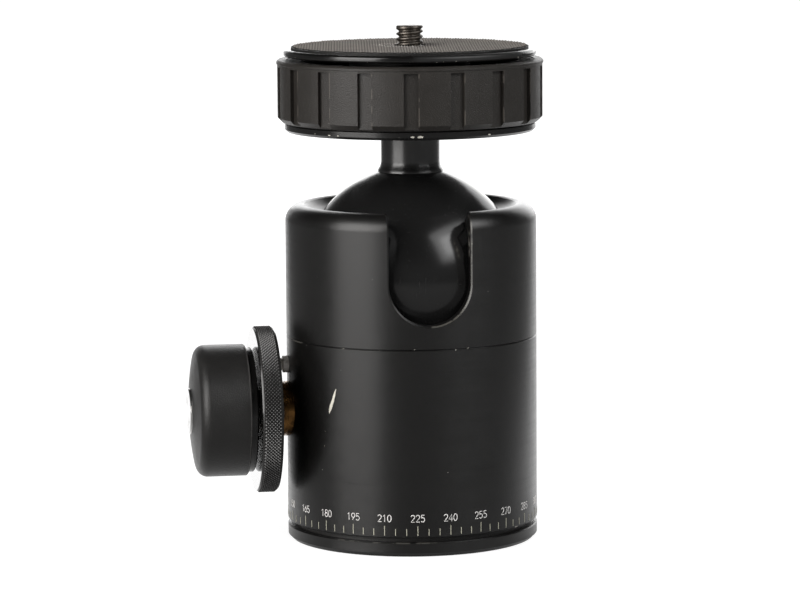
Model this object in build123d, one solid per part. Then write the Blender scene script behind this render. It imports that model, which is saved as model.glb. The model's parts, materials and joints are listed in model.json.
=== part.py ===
from build123d import *
from math import cos, hypot, radians, sin, sqrt
import os

# A tripod ball head: a steel camera screw and a padded platform on a big ball, in a round
# two-piece housing that turns on a base plate. A side knob squeezes a small fluid chamber,
# which lifts a cup against the ball and presses a brake on the base at the same time.
# Millimetres. Origin: middle of the base plate's underside. +Z up the stem.
# The drop slot is at -Y and the locking knob at -X.

os.makedirs("parts", exist_ok=True)

# clearances and small edges
RUN = 0.05            # radial gap of shafts that turn or slide
SPHERE_GAP = 0.15     # gap on each side of the ball's liner and inside its collar
AXIAL = 0.1           # end play between faces that pass each other
EDGE = 0.25           # bevel of a turned edge

# housing, and the ball that fills it
BODY_R = 30.0
RIM_FILLET = 4.0
CREST_R = BODY_R - RIM_FILLET
SKIRT_R = BODY_R - 1.9        # threaded joint of the two housings
CAVITY_R = SKIRT_R - 1.4
POCKET_R = CAVITY_R - 0.8     # seat of the ball's collar
CYL_R = CAVITY_R - 5.7        # bore of both pistons
BALL_R = CAVITY_R - 0.7
LINER_T = 1.2
LINER_R = BALL_R + SPHERE_GAP
CUP_R = LINER_R + LINER_T + SPHERE_GAP

# heights of the knob's axis, the stop pin, the seam, the ball's centre and the rim's crest
KNOB_Z = 31.5
STOP_PIN_UP = 10.7
STOP_PIN_R = 2.05
SKIRT_Z = KNOB_Z + STOP_PIN_UP + STOP_PIN_R + 0.35
SEAM_Z = SKIRT_Z + 4.2
SEAM_BEVEL = 0.2
CUP_RISE = 4.1                # middle of the cup's hollow above the knob's axis
BALL_Z = KNOB_Z + CUP_RISE + CUP_R
CREST_Z = BALL_Z + 17.2 / 26 * BALL_R
RIM_REACH = hypot(CREST_R, CREST_Z - RIM_FILLET - BALL_Z) + RIM_FILLET

# base
PLATE_T = 3.4
PLATE_CHAMFER = 0.9
GROOVE_H = 1.1        # dark groove between plate and housing, filled by the washer inside
HOUSING_Z = PLATE_T + GROOVE_H
FLOOR_TOP = HOUSING_Z + 5.5
NUT_TOP = FLOOR_TOP + 4.5
HUB_R = CYL_R - 9.0
HUB_TOP = NUT_TOP + 0.5
TRIPOD_THREAD_R = 9.525 / 2
TRIPOD_THREAD_DEPTH = 9.8
INSERT_R = 7.5
INSERT_TOP = TRIPOD_THREAD_DEPTH + 1.2
FOOT_RING_R = BODY_R - 8.5    # inner edge of the ring that the head stands on
RECESS_R = INSERT_R + 2.0
RECESS_D = 0.6
WASHER_R = BODY_R - 1.6
NUT_R = CYL_R - 1.5
SPANNER_R = 1.2
SPANNER_D = 2.0

# seats of the ball
LINER_Z = (BALL_Z - 0.918 * BALL_R, BALL_Z - 0.707 * BALL_R)
COLLAR_SEAT_Z = (BALL_Z + 0.3804 * BALL_R, BALL_Z + 0.51 * BALL_R)
POCKET_Z = COLLAR_SEAT_Z[0] - 2.3
LIP_GAP = 0.45        # dark gap between the rim and the ball
LIP_DROP = 2.4        # from the rim's crest down to its inner edge
CROWN = (0.86, 0.27)  # how far in and down the crest rounds over
SLOPE_SAG = 0.28      # hollow of the rim's inner slope

# drop slot
SLOT_W = 19.3
SLOT_Z = BALL_Z + 0.85        # centre of the slot's round end
SLOT_CHAMFER = 0.4
COLLAR_SLOT_W = SLOT_W + 0.8

# knob, measured outwards from the stem axis along -X
PLUNGER_R = 3.0
PLUNGER_TIP = CYL_R - 1.4
PLUNGER_HEAD = (BODY_R - 4.5, BODY_R - 2.5)
PLUNGER_SEAL = (CYL_R + 1.0, CYL_R + 2.2)
PLUNGER_SEAL_R = 0.53
PORT_FLOOR = BODY_R - 6.0
SHAFT_R = 5.0
BUSH_R = 6.6
BUSH_SHOULDER = BODY_R + 1.8
BUSH_GROOVE = (BODY_R + 0.8, BODY_R + 1.15)
SLEEVE_R = SHAFT_R + 1.0
RING = (BODY_R + 3.4, BODY_R + 8.3)
RING_R = 19.9
RING_BOSS_R = BUSH_R + 0.3
SLEEVE_END = RING[1] + AXIAL
CLIP = (RING[1] - 1.2, RING[1] - 0.4)
CLIP_R = (SLEEVE_R - 0.4, SLEEVE_R + 1.6)
CLIP_GAP = 3.0
CLIP_ROOM = 0.4
STOP_PIN = (BODY_R - 4.0, RING[0] + 1.2)
PIN_GROOVE = (BODY_R + 1.2, BODY_R + 2.1)
PIN_GROOVE_D = 0.6
TRACK_R = (STOP_PIN_UP - STOP_PIN_R - EDGE, STOP_PIN_UP + STOP_PIN_R + EDGE)
TRACK_D = 1.6
TRACK_ARC = 268
CAP_R = 15.75
COLLAR = (RING[1] + 0.5, RING[1] + 2.1)
COLLAR_R = CAP_R - 0.85
CORE_R = CAP_R - 1.85
CORE_END = COLLAR[1] + 6.1
SHAFT_END = CORE_END - 2.0
CAP_CORNER = 2.6
CAP_CORNER_ARC = 75
CAP_SIDE = COLLAR[1] + 9.4
CAP_FACE = COLLAR[1] + 13.3
CAP_FLOOR = CAP_FACE - 2.5
CAP_HOLLOW_R = CORE_R - 1.6
BADGE_R = 5.5
BADGE = (CAP_FACE - 0.4, CAP_FACE + 0.3)
KNOB_SCREW_R = 2.0
KNOB_SCREW_TIP = SHAFT_END - 8.5
KNOB_SCREW_HEAD = (3.6, 3.0)  # radius and height

# pistons: the cup's underside and the brake's top clear the plunger between them
PISTON_R = CYL_R - RUN
CUP_UNDER = KNOB_Z + PLUNGER_R + 0.3
CUP_TOP = BALL_Z - 0.715 * BALL_R
CUP_BOSS = (11.0, KNOB_Z - 0.5)   # radius and height of its underside
BRAKE_TOP = KNOB_Z - PLUNGER_R - 1.5
LINING_T = 2.5
LINING_R = (HUB_R + 1.3, NUT_R + 0.5)
BRAKE_Z = NUT_TOP + LINING_T
BRAKE_ROOM = 3.5      # hollow under the brake piston, over the hub
SEAL_R = 0.88
SEAL_GROOVE_D = 2 * SEAL_R - 0.01
SEAL_GROOVE_W = 2.2
CUP_GROOVE_Z = CUP_UNDER + 3.7
BRAKE_GROOVE_Z = BRAKE_Z + 3.9
SPRING_R = (5.0, 10.5)
SPRING_DISCS = 4
SPRING_T = 0.6

# stem
SPIGOT_R = 6.0
SPIGOT_Z = BALL_Z - 4.5
FLARE_R = 7.75
FLARE_H = (0.4, 1.7)
FLAT_Z = BALL_Z + sqrt(BALL_R ** 2 - (FLARE_R + 0.1) ** 2)
NECK_R = 7.0
BOLT_R = 2.5
BOLT_HEAD_R = 4.4
BOLT_HEX = (2.4, 3.0)
BOLT_HEAD = (BALL_Z - 0.71 * BALL_R, BALL_Z - 0.71 * BALL_R + 5.5)
BOLT_TOP = BALL_Z + 7.4

# platform and hand wheel
DISC_Z = BALL_Z + RIM_REACH + 1.44    # underside of the lower disc, clears the rim when level
LOWER_DISC_T = 2.0
LOWER_DISC_EDGE = 0.6
FLANGE_Z = DISC_Z + LOWER_DISC_T
FLANGE_R = 12.0
FLANGE_T = 2.5
FLANGE_ROOM = (0.3, 0.2)      # radial and axial room of the flange in the wheel
STUB_R = 4.5
STUB_H = 4.0
GRIP_R = 31.55
GRIP_LIP = 0.2
GRIP_LIP_H = 0.9
GRIP_Z = (FLANGE_Z + 0.2, FLANGE_Z + 15.0)
GRIP_CHAMFER = 1.2
GRIP_LIP_EDGE = 0.4
GRIP_SLOTS = 18
GRIP_TURN = -98.5             # degrees from +X to the middle of one slot
GRIP_SLOT_W = 3.4
GRIP_SLOT_D = 0.95
GRIP_SLOT_TOP = GRIP_Z[1] - 1.5
CORE_RIM_R = GRIP_R - 2.15
CORE_TOP = GRIP_Z[1] - 0.2
CORE_FLOOR = FLANGE_Z + 4.3
CORE_HOLLOW_R = (FLANGE_R + 2.5, CORE_RIM_R - 3.5)
JACK_R = 10.0
JACK_Z = FLANGE_Z + FLANGE_T + 0.8
LOWER_DISC_R = GRIP_R - 1.65
PLATFORM = (CORE_TOP + 1.0, CORE_TOP + 2.7)
PLATFORM_R = GRIP_R - 1.55
PLATFORM_EDGE = (0.5, 0.8)
POST_TOP = PLATFORM[0] - 1.1
POST_FLATS = 11.4
PAD_TOP = PLATFORM[1] + 0.9
PAD_R = PLATFORM_R - 1.7
SCREW_R = 6.35 / 2
SCREW_ROOM = 0.3
SCREW_RELIEF = 0.2
SCREW_POINT = 0.5
SCREW_ROOT = FLANGE_Z + 5.7
SCREW_TOP = PAD_TOP + 4.5
DISC_SCREWS = 3
DISC_SCREW_TURN = 30          # degrees from +X to the first of them
DISC_SCREW_R = 1.5
DISC_SCREW_HEAD = (2.9, 0.1, 1.4)     # head radius, sink and cone height
DISC_SCREW_PCR = sum(CORE_HOLLOW_R) / 2
DISC_SCREW_TOP = CORE_FLOOR - 0.5

LOW = (Align.CENTER, Align.CENTER, Align.MIN)


def tube(r_out, r_in, z0, z1):
    """A plain ring about the stem axis, or a disc where r_in is 0."""
    body = Pos(0, 0, z0) * Cylinder(r_out, z1 - z0, align=LOW)
    if r_in:
        body -= Pos(0, 0, z0) * Cylinder(r_in, z1 - z0, align=LOW)
    return body


def turned(points, arc=360):
    """A solid turned about Z from (radius, height) corners."""
    face = make_face(Polyline(*[(r, 0, z) for r, z in points], close=True))
    return revolve(face, Axis.Z, revolution_arc=arc)


def circle_edges(part, radius, height):
    """The round edges of a turned part with this radius at this height."""
    return [e for e in part.edges().filter_by(GeomType.CIRCLE)
            if abs(e.radius - radius) < 1e-3 and abs(e.arc_center.Z - height) < 1e-3]


def ball_shape(radius):
    """A sphere about the ball's centre."""
    return Pos(0, 0, BALL_Z) * Sphere(radius)


def sphere_radius_at(radius, z):
    """How far from the stem axis a sphere about the ball's centre is at a height."""
    return sqrt(radius ** 2 - (z - BALL_Z) ** 2)


def knob_side(part):
    """Turn a part drawn along +Z so that it points along -X on the knob's axis."""
    return Location((0, 0, KNOB_Z), (0, -90, 0)) * part


def around(part, count, start=0):
    """Copies of a part at equal steps about the stem axis."""
    return [Rot(0, 0, start + i * 360 / count) * part for i in range(count)]


def drop_slot(width):
    """The cutter of the slot that lets the neck lie level, out through -Y."""
    straight = Pos(0, -BODY_R / 2, SLOT_Z) * Box(
        width, BODY_R, CREST_Z, align=(Align.CENTER, Align.MAX, Align.MIN))
    end = Pos(0, -BODY_R, SLOT_Z) * Rot(90, 0, 0) * Cylinder(width / 2, BODY_R)
    return straight + end


def piston_side(groove_z):
    """Corners of a piston's wall where the groove of its seal is turned in."""
    floor_r = PISTON_R - SEAL_GROOVE_D
    return [(PISTON_R, groove_z), (floor_r, groove_z), (floor_r, groove_z + SEAL_GROOVE_W),
            (PISTON_R, groove_z + SEAL_GROOVE_W)]


def piston_seal(groove_z):
    """The O-ring in a piston's groove, just clear of the bore."""
    return Pos(0, 0, groove_z + SEAL_GROOVE_W / 2) * Torus(CYL_R - 0.02 - SEAL_R, SEAL_R)


def save(name, shape):
    """Write one piece to its own STEP file."""
    export_step(shape, f"parts/{name}.step")


# base plate with its hub, a steel thread insert and the washer that it turns on
save("base_plate", turned([
    (INSERT_R, 0), (RECESS_R, 0), (RECESS_R, RECESS_D), (FOOT_RING_R, RECESS_D),
    (FOOT_RING_R, 0), (BODY_R - PLATE_CHAMFER, 0), (BODY_R, PLATE_CHAMFER),
    (BODY_R, PLATE_T - EDGE), (BODY_R - EDGE, PLATE_T), (HUB_R, PLATE_T),
    (HUB_R, HUB_TOP), (0, HUB_TOP), (0, INSERT_TOP), (INSERT_R, INSERT_TOP)]))
save("thread_insert", turned([
    (TRIPOD_THREAD_R, 0), (INSERT_R, 0), (INSERT_R, INSERT_TOP), (0, INSERT_TOP),
    (0, TRIPOD_THREAD_DEPTH), (TRIPOD_THREAD_R, TRIPOD_THREAD_DEPTH)]))
save("thrust_washer", tube(WASHER_R, HUB_R + RUN, PLATE_T, HOUSING_Z))

nut = tube(NUT_R, HUB_R, FLOOR_TOP, NUT_TOP)
spanner_hole = Pos((HUB_R + NUT_R) / 2, 0, NUT_TOP) * Cylinder(SPANNER_R, 2 * SPANNER_D)
for hole in around(spanner_hole, 2):
    nut -= hole
save("retaining_nut", nut)

# lower housing: floor on the hub, bore of the pistons, ports of the knob and of the stop pin
lower = turned([
    (HUB_R + RUN, HOUSING_Z), (BODY_R - EDGE, HOUSING_Z), (BODY_R, HOUSING_Z + EDGE),
    (BODY_R, SEAM_Z - SEAM_BEVEL), (BODY_R - SEAM_BEVEL, SEAM_Z), (SKIRT_R, SEAM_Z),
    (SKIRT_R, SKIRT_Z), (CYL_R, SKIRT_Z), (CYL_R, FLOOR_TOP), (HUB_R + RUN, FLOOR_TOP)])
lower -= knob_side(tube(BUSH_R, 0, PORT_FLOOR, RING[0]))
lower -= knob_side(tube(PLUNGER_R + RUN, 0, CYL_R / 2, BODY_R))
lower -= knob_side(Pos(STOP_PIN_UP, 0, 0) * tube(STOP_PIN_R, 0, STOP_PIN[0], RING[0]))
save("lower_housing", lower)

# upper housing: skirt, cavity, collar pocket and a rounded rim that dips in to the ball
shoulder = (BODY_R, 0, CREST_Z - RIM_FILLET)
rim_mid = (CREST_R + RIM_FILLET * cos(radians(45)), 0,
           CREST_Z - RIM_FILLET + RIM_FILLET * sin(radians(45)))
crest = (CREST_R, 0, CREST_Z)
crown_mid = (CREST_R - CROWN[0] * 0.52, 0, CREST_Z - CROWN[1] * 0.26)
crown_end = (CREST_R - CROWN[0], 0, CREST_Z - CROWN[1])
lip_top_z = CREST_Z - LIP_DROP
lip_top = (sphere_radius_at(BALL_R + LIP_GAP, lip_top_z), 0, lip_top_z)
lip_low = (sphere_radius_at(BALL_R + LIP_GAP, COLLAR_SEAT_Z[1]), 0, COLLAR_SEAT_Z[1])
slope_mid = ((crown_end[0] + lip_top[0]) / 2, 0, (crown_end[2] + lip_top[2]) / 2 - SLOPE_SAG)
outline = [
    Polyline((CAVITY_R, 0, SKIRT_Z), (SKIRT_R, 0, SKIRT_Z), (SKIRT_R, 0, SEAM_Z),
             (BODY_R - SEAM_BEVEL, 0, SEAM_Z), (BODY_R, 0, SEAM_Z + SEAM_BEVEL), shoulder),
    ThreePointArc(shoulder, rim_mid, crest),
    ThreePointArc(crest, crown_mid, crown_end),
    ThreePointArc(crown_end, slope_mid, lip_top),
    Polyline(lip_top, lip_low, (POCKET_R, 0, COLLAR_SEAT_Z[1]), (POCKET_R, 0, POCKET_Z),
             (CAVITY_R, 0, POCKET_Z - 2 * (CAVITY_R - POCKET_R)), (CAVITY_R, 0, SKIRT_Z)),
]
upper = revolve(make_face(outline), Axis.Z) - drop_slot(SLOT_W)
slot_edges = [e for e in upper.edges()
              if abs((e @ 0.5).X) < SLOT_W / 2 + EDGE and (e @ 0.5).Y < 0
              and SLOT_Z - SLOT_W / 2 - 1 < (e @ 0.5).Z < shoulder[2]
              and abs(sqrt((e @ 0.5).X ** 2 + (e @ 0.5).Y ** 2) - BODY_R) < EDGE]
save("upper_housing", chamfer(slot_edges, SLOT_CHAMFER))

collar = tube(POCKET_R, 0, COLLAR_SEAT_Z[0], COLLAR_SEAT_Z[1]) - ball_shape(LINER_R)
save("ball_collar", collar - drop_slot(COLLAR_SLOT_W))

# cup piston under the ball, brake piston over the retaining nut, and what is between them
cup = turned([
    (0, CUP_BOSS[1]), CUP_BOSS, (CUP_BOSS[0], CUP_UNDER), (PISTON_R, CUP_UNDER),
    *piston_side(CUP_GROOVE_Z), (PISTON_R, CUP_TOP), (0, CUP_TOP)])
save("cup_piston", cup - ball_shape(CUP_R))
save("cup_seal", piston_seal(CUP_GROOVE_Z))

save("brake_piston", turned([
    (0, BRAKE_Z + BRAKE_ROOM), (LINING_R[0], BRAKE_Z + BRAKE_ROOM), (LINING_R[0], BRAKE_Z),
    (PISTON_R, BRAKE_Z), *piston_side(BRAKE_GROOVE_Z), (PISTON_R, BRAKE_TOP), (0, BRAKE_TOP)]))
save("brake_seal", piston_seal(BRAKE_GROOVE_Z))
save("brake_lining", tube(LINING_R[1], LINING_R[0], NUT_TOP, BRAKE_Z))

discs = []
pitch = (CUP_BOSS[1] - BRAKE_TOP) / SPRING_DISCS
cone = pitch - SPRING_T - 0.02
for i in range(SPRING_DISCS):
    z = BRAKE_TOP + i * pitch + 0.01
    inner, outer = (z + cone, z) if i % 2 == 0 else (z, z + cone)
    discs.append(turned([(SPRING_R[0], inner), (SPRING_R[1], outer),
                         (SPRING_R[1], outer + SPRING_T), (SPRING_R[0], inner + SPRING_T)]))
save("preload_spring", Compound(children=discs))

# knob bush, plunger and the pin that limits the friction ring
save("knob_bush", knob_side(turned([
    (SHAFT_R + RUN, PORT_FLOOR), (BUSH_R, PORT_FLOOR), (BUSH_R, BUSH_GROOVE[0]),
    (BUSH_R - EDGE, BUSH_GROOVE[0]), (BUSH_R - EDGE, BUSH_GROOVE[1]), (BUSH_R, BUSH_GROOVE[1]),
    (BUSH_R, BUSH_SHOULDER), (SLEEVE_R, BUSH_SHOULDER), (SLEEVE_R, CLIP[0]),
    (CLIP_R[0], CLIP[0]), (CLIP_R[0], CLIP[1]), (SLEEVE_R, CLIP[1]), (SLEEVE_R, SLEEVE_END),
    (SHAFT_R + RUN, SLEEVE_END)])))

clip = tube(CLIP_R[1], CLIP_R[0], CLIP[0], CLIP[1])
clip -= Pos(-CLIP_R[1], 0, CLIP[0]) * Box(CLIP_R[1], CLIP_GAP, SLEEVE_R)
save("ring_clip", knob_side(clip))

pin_neck = STOP_PIN_R - PIN_GROOVE_D
save("stop_pin", knob_side(Pos(STOP_PIN_UP, 0, 0) * turned([
    (0, STOP_PIN[0]), (STOP_PIN_R, STOP_PIN[0]), (STOP_PIN_R, PIN_GROOVE[0]),
    (pin_neck, PIN_GROOVE[0] + EDGE), (pin_neck, PIN_GROOVE[1] - EDGE),
    (STOP_PIN_R, PIN_GROOVE[1]), (STOP_PIN_R, STOP_PIN[1] - EDGE),
    (STOP_PIN_R - EDGE, STOP_PIN[1]), (0, STOP_PIN[1])])))

seal_floor = PLUNGER_R - 2 * PLUNGER_SEAL_R
save("plunger", knob_side(turned([
    (0, PLUNGER_TIP), (PLUNGER_R - EDGE, PLUNGER_TIP), (PLUNGER_R, PLUNGER_TIP + EDGE),
    (PLUNGER_R, PLUNGER_SEAL[0]), (seal_floor, PLUNGER_SEAL[0]), (seal_floor, PLUNGER_SEAL[1]),
    (PLUNGER_R, PLUNGER_SEAL[1]), (PLUNGER_R, PLUNGER_HEAD[0]), (SHAFT_R - AXIAL, PLUNGER_HEAD[0]),
    (SHAFT_R - AXIAL, PLUNGER_HEAD[1]), (0, PLUNGER_HEAD[1])])))
save("plunger_seal", knob_side(
    Pos(0, 0, sum(PLUNGER_SEAL) / 2) * Torus(seal_floor + PLUNGER_SEAL_R + 0.01, PLUNGER_SEAL_R)))

# friction ring: a plain blank for the knurl, with the stop pin's track in its back face
ring_recess = CLIP_R[1] + CLIP_ROOM
ring = turned([
    (SLEEVE_R + RUN, BUSH_SHOULDER), (RING_BOSS_R, BUSH_SHOULDER), (RING_BOSS_R, RING[0]),
    (RING_R - 2 * EDGE, RING[0]), (RING_R, RING[0] + EDGE), (RING_R, RING[1] - EDGE),
    (RING_R - EDGE, RING[1]), (ring_recess, RING[1]),
    (ring_recess, CLIP[0] - AXIAL), (SLEEVE_R + RUN, CLIP[0] - AXIAL)])
track = turned([(TRACK_R[0], BODY_R), (TRACK_R[1], BODY_R), (TRACK_R[1], RING[0] + TRACK_D),
                (TRACK_R[0], RING[0] + TRACK_D)], TRACK_ARC)
save("friction_ring", knob_side(ring - Rot(0, 0, -TRACK_ARC / 2) * track))

# knob: threaded shaft, core with its collar, cap with a domed face, badge and fixing screw
save("knob_shaft", knob_side(
    tube(SHAFT_R, 0, PLUNGER_HEAD[1], SHAFT_END) - tube(KNOB_SCREW_R, 0, KNOB_SCREW_TIP, SHAFT_END)))
save("knob_core", knob_side(turned([
    (SHAFT_R, COLLAR[0]), (COLLAR_R - EDGE, COLLAR[0]), (COLLAR_R, COLLAR[0] + EDGE),
    (COLLAR_R, COLLAR[1]), (CORE_R, COLLAR[1]), (CORE_R, CORE_END), (KNOB_SCREW_R, CORE_END),
    (KNOB_SCREW_R, SHAFT_END), (SHAFT_R, SHAFT_END)])))
head_r, head_h = KNOB_SCREW_HEAD
save("knob_screw", knob_side(
    tube(KNOB_SCREW_R, 0, KNOB_SCREW_TIP, CORE_END) + tube(head_r, 0, CORE_END, CORE_END + head_h)
    - Pos(0, 0, CORE_END + head_h / 2) * extrude(RegularPolygon(head_r / 2, 6), head_h)))


def corner_point(degrees):
    """A point on the round corner of the knob's cap, from its side towards its face."""
    a = radians(degrees)
    return (CAP_R - CAP_CORNER + CAP_CORNER * cos(a), 0, CAP_SIDE + CAP_CORNER * sin(a))


face_rim = corner_point(CAP_CORNER_ARC)
cap_outline = [
    Polyline((0, 0, CAP_FLOOR), (CAP_HOLLOW_R, 0, CAP_FLOOR), (CAP_HOLLOW_R, 0, CORE_END),
             (CORE_R, 0, CORE_END), (CORE_R, 0, COLLAR[1]), (CAP_R - EDGE, 0, COLLAR[1]),
             (CAP_R, 0, COLLAR[1] + EDGE), corner_point(0)),
    ThreePointArc(corner_point(0), corner_point(CAP_CORNER_ARC / 2), face_rim),
    ThreePointArc(face_rim, (face_rim[0] / 2, 0, CAP_FACE - (CAP_FACE - face_rim[2]) / 4),
                  (0, 0, CAP_FACE)),
    Line((0, 0, CAP_FACE), (0, 0, CAP_FLOOR)),
]
cap = revolve(make_face(cap_outline), Axis.Z) - tube(BADGE_R, 0, BADGE[0], BADGE[1])
save("knob_cap", knob_side(cap))
save("knob_badge", knob_side(turned([
    (0, BADGE[0]), (BADGE_R, BADGE[0]), (BADGE_R, BADGE[1] - EDGE), (BADGE_R - EDGE, BADGE[1]),
    (0, BADGE[1])])))

# ball, its floating liner, the neck in the ball and the bolt that holds it
shell = ball_shape(LINER_R + LINER_T) - ball_shape(LINER_R)
save("ball_liner", shell & tube(BODY_R, 0, LINER_Z[0], LINER_Z[1]))

ball = ball_shape(BALL_R) - tube(BALL_R, 0, FLAT_Z, BALL_Z + BALL_R)
ball -= tube(SPIGOT_R + RUN, 0, SPIGOT_Z - AXIAL, FLAT_Z)
ball -= tube(BOLT_R + RUN, 0, BOLT_HEAD[1], SPIGOT_Z)
ball -= tube(BOLT_HEAD_R + RUN, 0, BALL_Z - BALL_R, BOLT_HEAD[1])
save("ball", ball)

save("neck", turned([
    (BOLT_R, SPIGOT_Z), (SPIGOT_R, SPIGOT_Z), (SPIGOT_R, FLAT_Z), (FLARE_R, FLAT_Z),
    (FLARE_R, FLAT_Z + FLARE_H[0]), (NECK_R, FLAT_Z + FLARE_H[1]), (NECK_R, FLANGE_Z),
    (STUB_R, FLANGE_Z), (STUB_R, FLANGE_Z + STUB_H), (0, FLANGE_Z + STUB_H), (0, BOLT_TOP),
    (BOLT_R, BOLT_TOP)]))
bolt = tube(BOLT_R, 0, BOLT_HEAD[1], BOLT_TOP) + tube(BOLT_HEAD_R, 0, BOLT_HEAD[0], BOLT_HEAD[1])
save("neck_bolt", bolt - Pos(0, 0, BOLT_HEAD[0]) * extrude(RegularPolygon(BOLT_HEX[0], 6), BOLT_HEX[1]))


def flatted(radius, width, z0, z1):
    """A round bar about the stem axis with two flats, one on each side."""
    bar = Pos(0, 0, z0) * Box(width, 2 * radius, z1 - z0, align=LOW)
    return tube(radius, 0, z0, z1) & bar


# platform hub on the neck: its flange is held in the hand wheel, its post is flatted
hub = flatted(NECK_R, POST_FLATS, FLANGE_Z, POST_TOP)
hub += tube(FLANGE_R, 0, FLANGE_Z, FLANGE_Z + FLANGE_T)
hub -= tube(STUB_R, 0, FLANGE_Z, FLANGE_Z + STUB_H)
hub -= tube(SCREW_R, 0, SCREW_ROOT, POST_TOP)
save("platform_hub", hub)

save("camera_screw", turned([
    (0, SCREW_ROOT), (SCREW_R, SCREW_ROOT), (SCREW_R, POST_TOP),
    (SCREW_R - SCREW_RELIEF, POST_TOP), (SCREW_R - SCREW_RELIEF, PAD_TOP), (SCREW_R, PAD_TOP),
    (SCREW_R, SCREW_TOP - SCREW_POINT), (SCREW_R - SCREW_POINT, SCREW_TOP), (0, SCREW_TOP)]))

# hand wheel: core, lower disc with its screws and the rubber grip
head, sink, cone_h = DISC_SCREW_HEAD
lower_disc = turned([
    (NECK_R + RUN, DISC_Z), (LOWER_DISC_R - LOWER_DISC_EDGE, DISC_Z),
    (LOWER_DISC_R, DISC_Z + LOWER_DISC_EDGE), (LOWER_DISC_R, FLANGE_Z - EDGE),
    (LOWER_DISC_R - EDGE, FLANGE_Z), (NECK_R + RUN, FLANGE_Z)])
screw_seat = Pos(DISC_SCREW_PCR, 0, 0) * turned([
    (0, DISC_Z), (head, DISC_Z), (head, DISC_Z + sink), (DISC_SCREW_R, DISC_Z + sink + cone_h),
    (DISC_SCREW_R, FLANGE_Z), (0, FLANGE_Z)])
save("lower_disc", lower_disc - around(screw_seat, DISC_SCREWS, DISC_SCREW_TURN))
screw = Pos(DISC_SCREW_PCR, 0, 0) * turned([
    (0, DISC_Z + sink), (head, DISC_Z + sink), (DISC_SCREW_R, DISC_Z + sink + cone_h),
    (DISC_SCREW_R, DISC_SCREW_TOP), (0, DISC_SCREW_TOP)])
screw -= Pos(DISC_SCREW_PCR, 0, DISC_Z) * extrude(RegularPolygon(DISC_SCREW_R * 0.8, 6), cone_h)
save("disc_screws", Compound(children=around(screw, DISC_SCREWS, DISC_SCREW_TURN)))

room_r, room_z = FLANGE_ROOM
core = turned([
    (FLANGE_R + room_r, FLANGE_Z), (CORE_RIM_R, FLANGE_Z), (CORE_RIM_R, CORE_TOP),
    (CORE_HOLLOW_R[1], CORE_TOP), (CORE_HOLLOW_R[1], CORE_FLOOR), (CORE_HOLLOW_R[0], CORE_FLOOR),
    (CORE_HOLLOW_R[0], CORE_TOP), (JACK_R, CORE_TOP), (JACK_R, FLANGE_Z + FLANGE_T + room_z),
    (FLANGE_R + room_r, FLANGE_Z + FLANGE_T + room_z)])
tapped = Pos(DISC_SCREW_PCR, 0, 0) * tube(DISC_SCREW_R, 0, FLANGE_Z, DISC_SCREW_TOP)
save("wheel_core", core - around(tapped, DISC_SCREWS, DISC_SCREW_TURN))

lip_z = GRIP_Z[1] - GRIP_LIP_H
grip = turned([
    (CORE_RIM_R, GRIP_Z[0]), (GRIP_R - GRIP_CHAMFER, GRIP_Z[0]),
    (GRIP_R, GRIP_Z[0] + GRIP_CHAMFER), (GRIP_R, lip_z - GRIP_LIP / 2),
    (GRIP_R + GRIP_LIP, lip_z), (GRIP_R + GRIP_LIP, GRIP_Z[1] - GRIP_LIP_EDGE),
    (GRIP_R + GRIP_LIP - GRIP_LIP_EDGE, GRIP_Z[1]), (CORE_RIM_R, GRIP_Z[1])])
slot_h = GRIP_SLOT_TOP - GRIP_Z[0]
notch = Pos(GRIP_R - GRIP_SLOT_D, 0, GRIP_SLOT_TOP) * Box(
    2 * GRIP_SLOT_D, GRIP_SLOT_W, slot_h, align=(Align.MIN, Align.CENTER, Align.MAX))
save("grip_ring", grip - around(notch, GRIP_SLOTS, GRIP_TURN))

# platform disc, raised by the wheel's inner thread along the flatted post, and its pad
disc = tube(PLATFORM_R, 0, PLATFORM[0], PLATFORM[1])
for radius, height in zip(PLATFORM_EDGE, PLATFORM):
    disc = fillet(circle_edges(disc, PLATFORM_R, height), radius)
disc += tube(JACK_R - RUN, 0, JACK_Z, PLATFORM[0])
disc -= flatted(NECK_R + RUN, POST_FLATS + 2 * RUN, JACK_Z, POST_TOP + 0.4)
disc -= tube(SCREW_R + SCREW_ROOM, 0, POST_TOP, PLATFORM[1])
save("platform_disc", disc)
save("platform_pad", tube(PAD_R, SCREW_R + SCREW_ROOM, PLATFORM[1], PAD_TOP))
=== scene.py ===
"""A tripod ball head, dressed: studio, finishes, knurl, threads, dial, edge wear and painted edge
highlights.
"""
import json
from math import cos, hypot, pi, radians, sin, tau

import bmesh
import bpy
from mathutils import Matrix, Vector

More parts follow.
